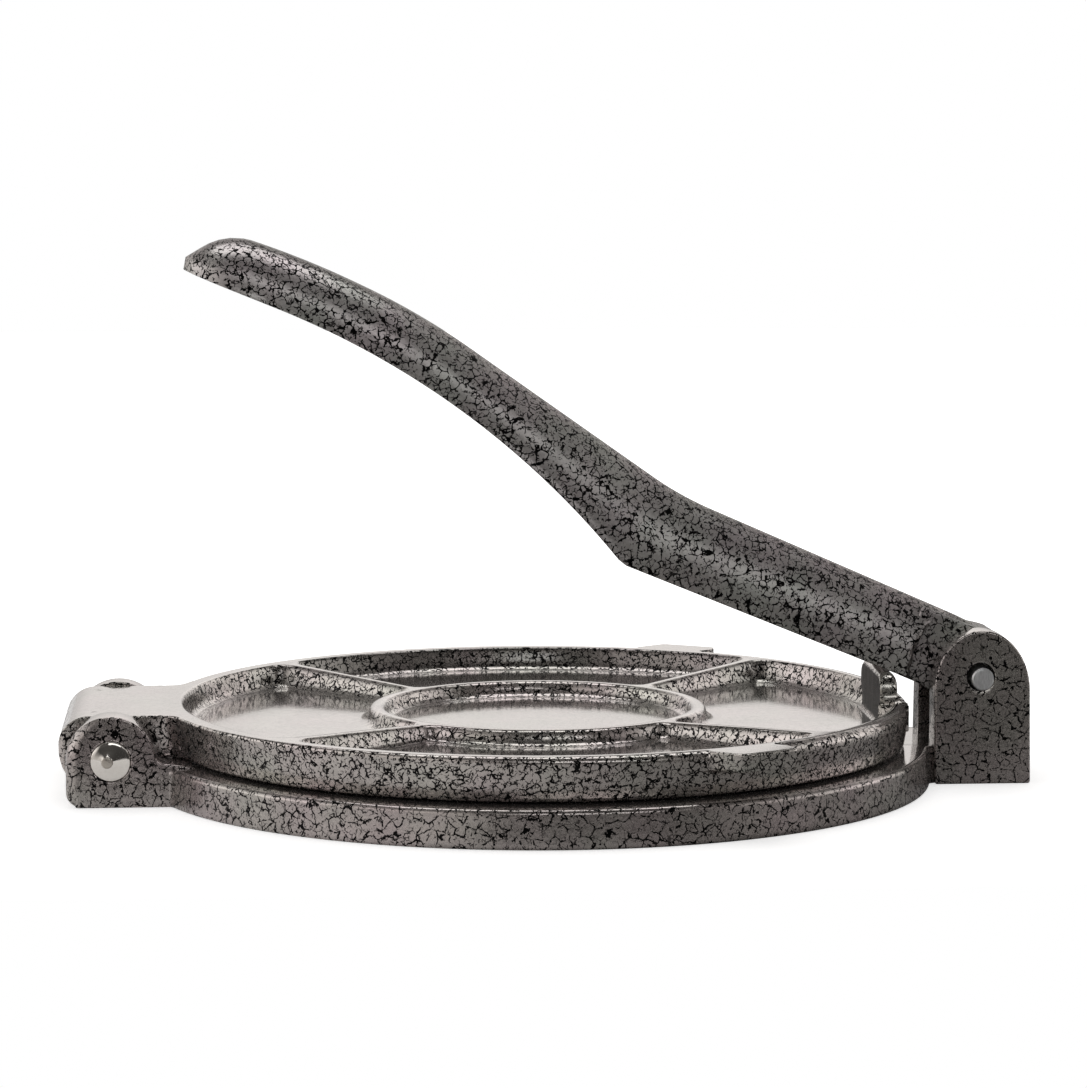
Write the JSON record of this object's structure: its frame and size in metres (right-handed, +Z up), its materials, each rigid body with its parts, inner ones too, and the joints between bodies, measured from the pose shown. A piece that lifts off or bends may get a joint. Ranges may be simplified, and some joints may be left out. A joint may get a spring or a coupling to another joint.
{
  "type": "tortilla press",
  "caption": "Round hand press: a base plate, a hinged top plate with ring and ribs, and a curved handle that bears on the top plate's saddle.",
  "frame": {"origin": "centre of the round base, on the surface it stands on", "axes": "+X from the plate hinge to the handle clevis, +Y along the hinge pins away from the viewer, +Z up"},
  "size_m": [0.2584, 0.2108, 0.1458],
  "materials": {
    "base_coating": "glossy silver-vein powder coat",
    "top_plate_coating": "glossy silver-vein powder coat",
    "handle_coating": "glossy silver-vein powder coat",
    "turned_steel": "turned, bright",
    "cut_steel": "cut, satin"
  },
  "bodies": {
    "base": {"base": "base_coating", "hinge_pin": "turned_steel"},
    "top_plate": {"top_plate": "top_plate_coating"},
    "handle": {"lever": "handle_coating", "lever_pin": "cut_steel"}
  },
  "joints": [
    {"name": "plate_open", "type": "hinge", "parent": "base", "child": "top_plate", "pos_m": [-0.1133, 0, 0.012], "axis": [0, -1, 0], "range_deg": [0, 17]},
    {"name": "handle_swing", "type": "hinge", "parent": "base", "child": "handle", "pos_m": [0.118, 0, 0.028], "axis": [0, 1, 0], "range_deg": [0, 140]}
  ],
  "couplings": [
    {"joint": "plate_open", "follows": "handle_swing", "ratio": 0.12}
  ]
}
